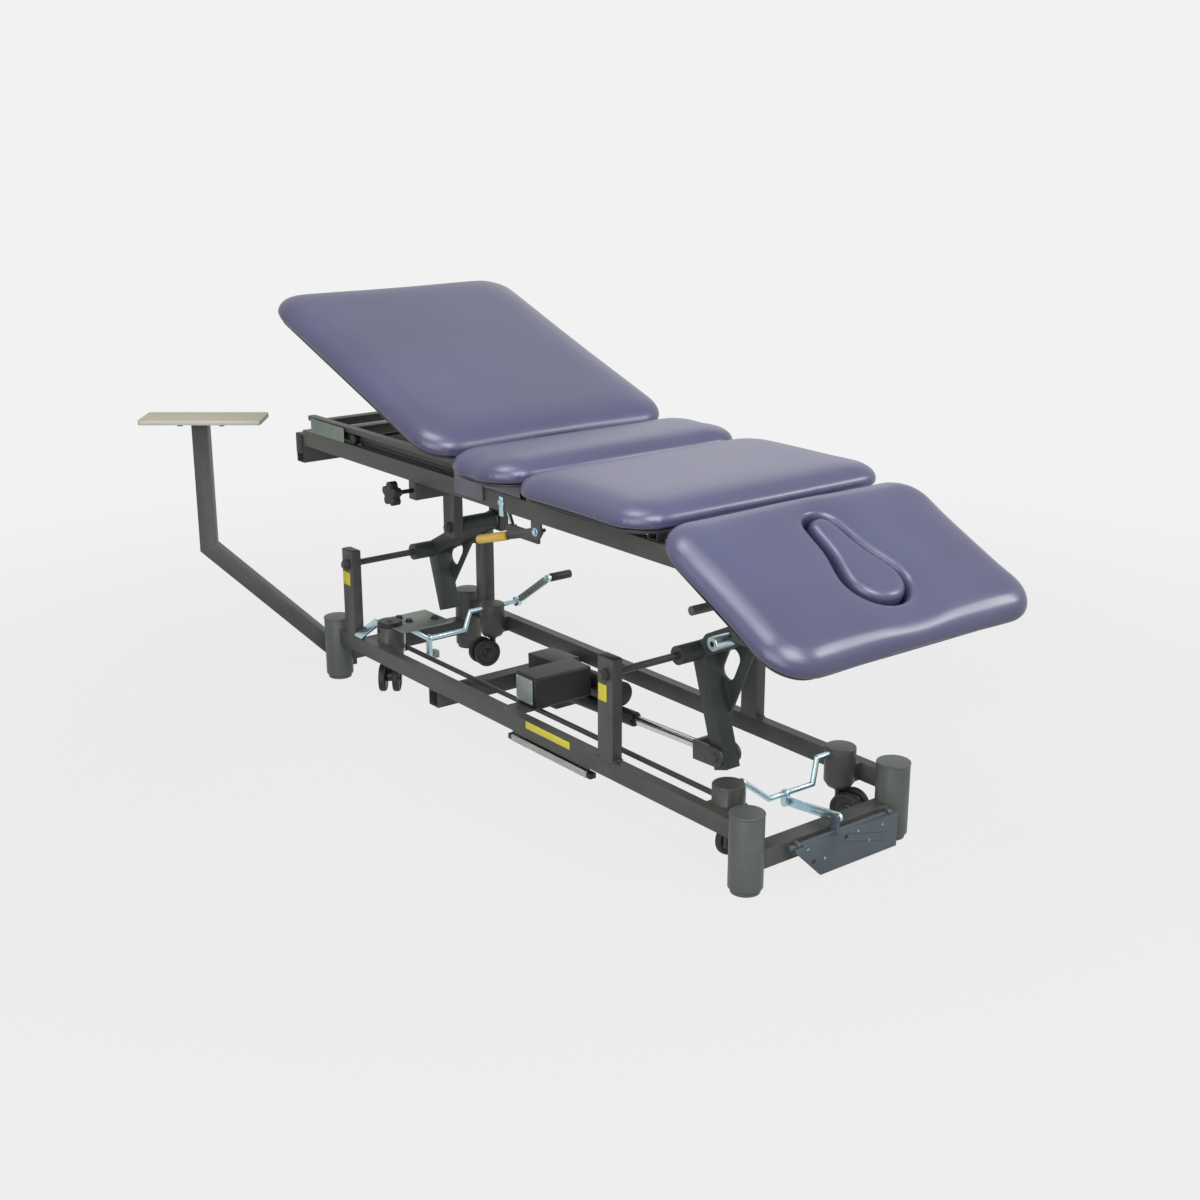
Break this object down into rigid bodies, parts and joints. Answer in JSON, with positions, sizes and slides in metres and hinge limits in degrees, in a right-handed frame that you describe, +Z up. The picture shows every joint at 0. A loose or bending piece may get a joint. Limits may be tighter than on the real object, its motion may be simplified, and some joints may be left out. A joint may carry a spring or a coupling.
{
  "type": "traction table",
  "caption": "Padded height-adjustable traction table with tilting end sections, sliding carriage, lowering castors and a swing-out platform stand.",
  "frame": {"origin": "on the floor under the middle of the base frame, midway between the four pillars", "axes": "+X to the head end, -Y the side with the foot-switch bar, +Z up"},
  "size_m": [2.2134, 0.9235, 1.0108],
  "materials": {
    "powder_coat": "satin charcoal powder coat",
    "zinc": "bright zinc plate",
    "steel_rod": "polished",
    "upholstery": "soft purple-blue vinyl",
    "ply": "sealed plywood",
    "black_plastic": "matte",
    "grey_plastic": "matte",
    "rubber": "matte"
  },
  "bodies": {
    "base": {"pillars": "powder_coat", "pillar_ends": "black_plastic", "base_rails": "powder_coat", "end_tubes": "powder_coat", "posts": "powder_coat", "lift_shafts": "powder_coat", "shaft_spacer": "zinc", "base_fittings": "powder_coat", "control_box": "black_plastic", "castor_housings": "powder_coat", "castor_plate": "zinc", "stand_bracket": "powder_coat"},
    "head_crank": {"crank_head": "powder_coat"},
    "foot_crank": {"crank_foot": "powder_coat"},
    "upper_frame": {"side_rails": "powder_coat", "upper_cross_tubes": "powder_coat", "hangers": "powder_coat", "rail_fittings": "powder_coat", "end_guards": "zinc", "middle_board": "ply", "middle_pad": "upholstery"},
    "carriage": {"carriage_sides": "powder_coat", "carriage_tubes": "powder_coat", "narrow_board": "ply", "narrow_pad": "upholstery"},
    "long_section": {"long_frame": "powder_coat", "long_board": "ply", "long_pad": "upholstery"},
    "head_section": {"head_frame": "powder_coat", "head_board": "ply", "head_pad": "upholstery"},
    "stand_arm": {"stand_arm": "powder_coat", "stand_platform": "ply"},
    "rollers_foot": {"rollers_foot": "black_plastic"},
    "rollers_head": {"rollers_head": "black_plastic"},
    "face_plug": {"face_plug": "upholstery"},
    "head_lever": {"head_lever": "powder_coat"},
    "long_gas_rod": {"long_gas_rod": "steel_rod"},
    "long_gas_tube": {"long_gas_tube": "black_plastic"},
    "head_gas_rod": {"head_gas_rod": "steel_rod"},
    "head_gas_tube": {"head_gas_tube": "black_plastic"},
    "star_knob": {"star_knob": "black_plastic"},
    "release_lever": {"release_lever": "powder_coat"},
    "actuator_body": {"actuator_body": "black_plastic"},
    "actuator_rod": {"actuator_rod": "steel_rod"},
    "castor_stems": {"castor_stems": "zinc"},
    "cross_rod_head": {"cross_rod_head": "zinc"},
    "cross_rod_foot": {"cross_rod_foot": "zinc"},
    "tie_rod": {"tie_rod": "powder_coat"},
    "castor_pedal": {"castor_pedal": "powder_coat"},
    "pedal_link": {"pedal_link": "zinc"},
    "switch_bar": {"switch_bar": "grey_plastic"},
    "castor_fork_near_head": {"castor_fork_near_head": "grey_plastic"},
    "castor_wheels_near_head": {"castor_wheels_near_head": "rubber"},
    "castor_fork_far_head": {"castor_fork_far_head": "grey_plastic"},
    "castor_wheels_far_head": {"castor_wheels_far_head": "rubber"},
    "castor_fork_near_foot": {"castor_fork_near_foot": "grey_plastic"},
    "castor_wheels_near_foot": {"castor_wheels_near_foot": "rubber"},
    "castor_fork_far_foot": {"castor_fork_far_foot": "grey_plastic"},
    "castor_wheels_far_foot": {"castor_wheels_far_foot": "rubber"}
  },
  "joints": [
    {"name": "lift", "type": "hinge", "parent": "base", "child": "head_crank", "pos_m": [0.364, 0.032, 0.328], "axis": [0, -1, 0], "range_deg": [-59.6, 14.4]},
    {"name": "foot_crank_turn", "type": "hinge", "parent": "base", "child": "foot_crank", "pos_m": [-0.698, 0.032, 0.328], "axis": [0, -1, 0], "range_deg": [-59.6, 14.4]},
    {"name": "frame_level", "type": "hinge", "parent": "head_crank", "child": "upper_frame", "pos_m": [0.58555, 0.032, 0.44382], "axis": [0, -1, 0], "range_deg": [-14.4, 59.6]},
    {"name": "actuator_turn", "type": "hinge", "parent": "base", "child": "actuator_body", "pos_m": [-0.26, 0.056, 0.078], "axis": [0, -1, 0], "range_deg": [-0.73, 3.04]},
    {"name": "actuator_extend", "type": "slide", "parent": "actuator_body", "child": "actuator_rod", "axis": [0.9993, 0, 0.038], "range_m": [-0.22826, 0.05515]},
    {"name": "carriage_slide", "type": "slide", "parent": "upper_frame", "child": "carriage", "axis": [-1, 0, 0], "range_m": [0, 0.1]},
    {"name": "rollers_foot_roll", "type": "hinge", "parent": "carriage", "child": "rollers_foot", "pos_m": [-0.59995, 0, 0.66962], "axis": [0, 1, 0], "range_deg": [-467.53, 10]},
    {"name": "rollers_head_roll", "type": "hinge", "parent": "carriage", "child": "rollers_head", "pos_m": [0.12005, 0, 0.66962], "axis": [0, 1, 0], "range_deg": [-467.53, 10]},
    {"name": "long_tilt", "type": "hinge", "parent": "carriage", "child": "long_section", "pos_m": [-0.07095, 0, 0.68782], "axis": [0, 1, 0], "range_deg": [-19.8, 14]},
    {"name": "long_gas_turn", "type": "hinge", "parent": "carriage", "child": "long_gas_rod", "pos_m": [-0.13251, -0.094, 0.51868], "axis": [0, 1, 0], "range_deg": [-10.1, 7.14]},
    {"name": "long_gas_extend", "type": "slide", "parent": "long_gas_rod", "child": "long_gas_tube", "axis": [-0.4788, 0, 0.8779], "range_m": [-0.04847, 0.03427]},
    {"name": "head_tilt", "type": "hinge", "parent": "upper_frame", "child": "head_section", "pos_m": [0.62755, 0, 0.68182], "axis": [0, -1, 0], "range_deg": [-25, 25]},
    {"name": "head_gas_turn", "type": "hinge", "parent": "upper_frame", "child": "head_gas_rod", "pos_m": [0.54151, -0.094, 0.55895], "axis": [0, -1, 0], "range_deg": [-12.75, 12.75]},
    {"name": "head_gas_extend", "type": "slide", "parent": "head_gas_rod", "child": "head_gas_tube", "axis": [0.9856, 0, 0.1692], "range_m": [-0.04704, 0.04704]},
    {"name": "plug_lift", "type": "slide", "parent": "head_section", "child": "face_plug", "axis": [0.4552, 0, 0.8904], "range_m": [0, 0.07]},
    {"name": "head_release", "type": "hinge", "parent": "head_section", "child": "head_lever", "pos_m": [0.71174, -0.22, 0.64439], "axis": [0, 1, 0], "range_deg": [0, 18]},
    {"name": "knob_turn", "type": "hinge", "parent": "upper_frame", "child": "star_knob", "pos_m": [-0.32145, -0.301, 0.59532], "axis": [0, -1, 0], "range_deg": [0, 540]},
    {"name": "release_pull", "type": "hinge", "parent": "upper_frame", "child": "release_lever", "pos_m": [0.16505, -0.237, 0.59582], "axis": [0, 1, 0], "range_deg": [0, 14]},
    {"name": "castor_lower", "type": "slide", "parent": "base", "child": "castor_stems", "axis": [0, 0, -1], "range_m": [0, 0.022]},
    {"name": "swivel_near_head", "type": "hinge", "parent": "castor_stems", "child": "castor_fork_near_head", "pos_m": [0.681, -0.1575, 0.075], "axis": [0, 0, 1], "continuous": true},
    {"name": "wheels_near_head", "type": "hinge", "parent": "castor_fork_near_head", "child": "castor_wheels_near_head", "pos_m": [0.67873, -0.1316, 0.047], "axis": [-0.9962, -0.0872, 0], "continuous": true},
    {"name": "swivel_far_head", "type": "hinge", "parent": "castor_stems", "child": "castor_fork_far_head", "pos_m": [0.681, 0.1575, 0.075], "axis": [0, 0, 1], "continuous": true},
    {"name": "wheels_far_head", "type": "hinge", "parent": "castor_fork_far_head", "child": "castor_wheels_far_head", "pos_m": [0.70543, 0.16639, 0.047], "axis": [-0.342, 0.9397, 0], "continuous": true},
    {"name": "swivel_near_foot", "type": "hinge", "parent": "castor_stems", "child": "castor_fork_near_foot", "pos_m": [-0.599, -0.1575, 0.075], "axis": [0, 0, 1], "continuous": true},
    {"name": "wheels_near_foot", "type": "hinge", "parent": "castor_fork_near_foot", "child": "castor_wheels_near_foot", "pos_m": [-0.57908, -0.17421, 0.047], "axis": [0.6428, 0.766, 0], "continuous": true},
    {"name": "swivel_far_foot", "type": "hinge", "parent": "castor_stems", "child": "castor_fork_far_foot", "pos_m": [-0.599, 0.1575, 0.075], "axis": [0, 0, 1], "continuous": true},
    {"name": "wheels_far_foot", "type": "hinge", "parent": "castor_fork_far_foot", "child": "castor_wheels_far_foot", "pos_m": [-0.60127, 0.1316, 0.047], "axis": [0.9962, -0.0872, 0], "continuous": true},
    {"name": "cross_rod_head_turn", "type": "hinge", "parent": "base", "child": "cross_rod_head", "pos_m": [0.681, 0, 0.168], "axis": [0, 1, 0], "range_deg": [-0.5, 10.73]},
    {"name": "cross_rod_foot_turn", "type": "hinge", "parent": "base", "child": "cross_rod_foot", "pos_m": [-0.599, 0, 0.168], "axis": [0, 1, 0], "range_deg": [-0.5, 10.73]},
    {"name": "tie_rod_turn", "type": "hinge", "parent": "cross_rod_head", "child": "tie_rod", "pos_m": [0.681, -0.1135, 0.112], "axis": [0, 1, 0], "range_deg": [-10.73, 0.5]},
    {"name": "pedal_press", "type": "hinge", "parent": "base", "child": "castor_pedal", "pos_m": [0.822, 0.02, 0.078], "axis": [0, -1, 0], "range_deg": [-0.5, 26]},
    {"name": "pedal_link_turn", "type": "hinge", "parent": "castor_pedal", "child": "pedal_link", "pos_m": [0.822, 0.008, 0.108], "axis": [0, -1, 0], "range_deg": [-27.57, 0.5]},
    {"name": "switch_press", "type": "slide", "parent": "base", "child": "switch_bar", "axis": [0, 0, 1], "range_m": [0, 0.005]},
    {"name": "stand_swing", "type": "hinge", "parent": "base", "child": "stand_arm", "pos_m": [-0.84111, -0.16134, 0.06], "axis": [0, 0, 1], "range_deg": [-80, 15]}
  ],
  "couplings": [
    {"joint": "foot_crank_turn", "follows": "lift", "ratio": 1},
    {"joint": "frame_level", "follows": "lift", "ratio": -1},
    {"joint": "actuator_turn", "follows": "lift", "ratio": -0.05},
    {"joint": "actuator_extend", "follows": "lift", "m_per_rad": 0.21514},
    {"joint": "rollers_foot_roll", "follows": "carriage_slide", "rad_per_m": -80},
    {"joint": "rollers_head_roll", "follows": "carriage_slide", "rad_per_m": -80},
    {"joint": "long_gas_turn", "follows": "long_tilt", "ratio": 0.5},
    {"joint": "long_gas_extend", "follows": "long_tilt", "m_per_rad": 0.13751},
    {"joint": "head_gas_turn", "follows": "head_tilt", "ratio": 0.5},
    {"joint": "head_gas_extend", "follows": "head_tilt", "m_per_rad": 0.1057},
    {"joint": "cross_rod_head_turn", "follows": "castor_lower", "rad_per_m": 7.721},
    {"joint": "cross_rod_foot_turn", "follows": "castor_lower", "rad_per_m": 7.721},
    {"joint": "tie_rod_turn", "follows": "castor_lower", "rad_per_m": -7.721},
    {"joint": "pedal_press", "follows": "castor_lower", "rad_per_m": 19.833},
    {"joint": "pedal_link_turn", "follows": "castor_lower", "rad_per_m": -21.077}
  ]
}
